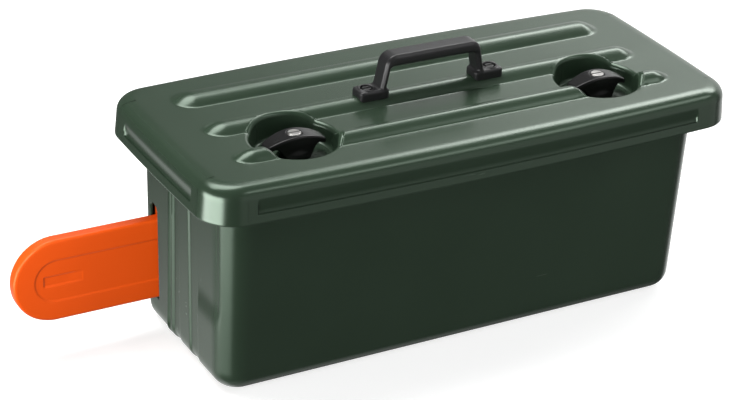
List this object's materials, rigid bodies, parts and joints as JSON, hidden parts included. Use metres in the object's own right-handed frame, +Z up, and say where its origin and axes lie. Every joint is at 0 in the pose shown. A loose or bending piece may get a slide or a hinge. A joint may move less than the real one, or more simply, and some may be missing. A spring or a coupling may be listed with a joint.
{
  "type": "chainsaw transport box",
  "caption": "Long lidded plastic tub for carrying a chainsaw, with a top handle, quarter-turn latches in the lid and a scabbard for the guide bar out of one end.",
  "frame": {"origin": "on the floor plane under the centre of the lid and tub", "axes": "+X along the box away from the scabbard, -Y the front with the latches, +Z up"},
  "size_m": [0.7714, 0.284, 0.31],
  "materials": {
    "green_plastic": "satin moulded polyethylene with a fine grain",
    "grey_plastic": "satin dark grey nylon",
    "black_plastic": "semi-gloss black nylon",
    "orange_plastic": "satin orange polyethylene",
    "zinc_steel": "bright zinc plate",
    "black_steel": "black coated steel"
  },
  "bodies": {
    "tub": {"tub": "green_plastic", "keeper_left": "zinc_steel", "keeper_right": "zinc_steel", "keeper_screws": "zinc_steel", "hinge_pin_left": "zinc_steel", "hinge_pin_right": "zinc_steel"},
    "lid": {"lid": "green_plastic", "handle": "grey_plastic", "handle_screws": "black_steel", "handle_washers": "zinc_steel", "handle_nuts": "zinc_steel"},
    "latch_left": {"knob_left": "black_plastic", "latch_screw_left": "zinc_steel", "latch_bush_left": "black_plastic", "latch_tongue_left": "zinc_steel", "latch_washer_left": "zinc_steel", "latch_nut_left": "zinc_steel"},
    "latch_right": {"knob_right": "black_plastic", "latch_screw_right": "zinc_steel", "latch_bush_right": "black_plastic", "latch_tongue_right": "zinc_steel", "latch_washer_right": "zinc_steel", "latch_nut_right": "zinc_steel"},
    "scabbard": {"scabbard": "orange_plastic"}
  },
  "joints": [
    {"name": "lid_hinge", "type": "hinge", "parent": "tub", "child": "lid", "pos_m": [0, 0.1235, 0.225], "axis": [-1, 0, 0], "range_deg": [0, 100]},
    {"name": "latch_left_turn", "type": "hinge", "parent": "lid", "child": "latch_left", "pos_m": [-0.186, -0.05, 0.238], "axis": [0, 0, -1], "range_deg": [0, 90]},
    {"name": "latch_right_turn", "type": "hinge", "parent": "lid", "child": "latch_right", "pos_m": [0.186, -0.05, 0.238], "axis": [0, 0, -1], "range_deg": [0, 90]},
    {"name": "scabbard_slide", "type": "slide", "parent": "tub", "child": "scabbard", "axis": [1, 0, 0], "range_m": [0, 0.15]}
  ]
}
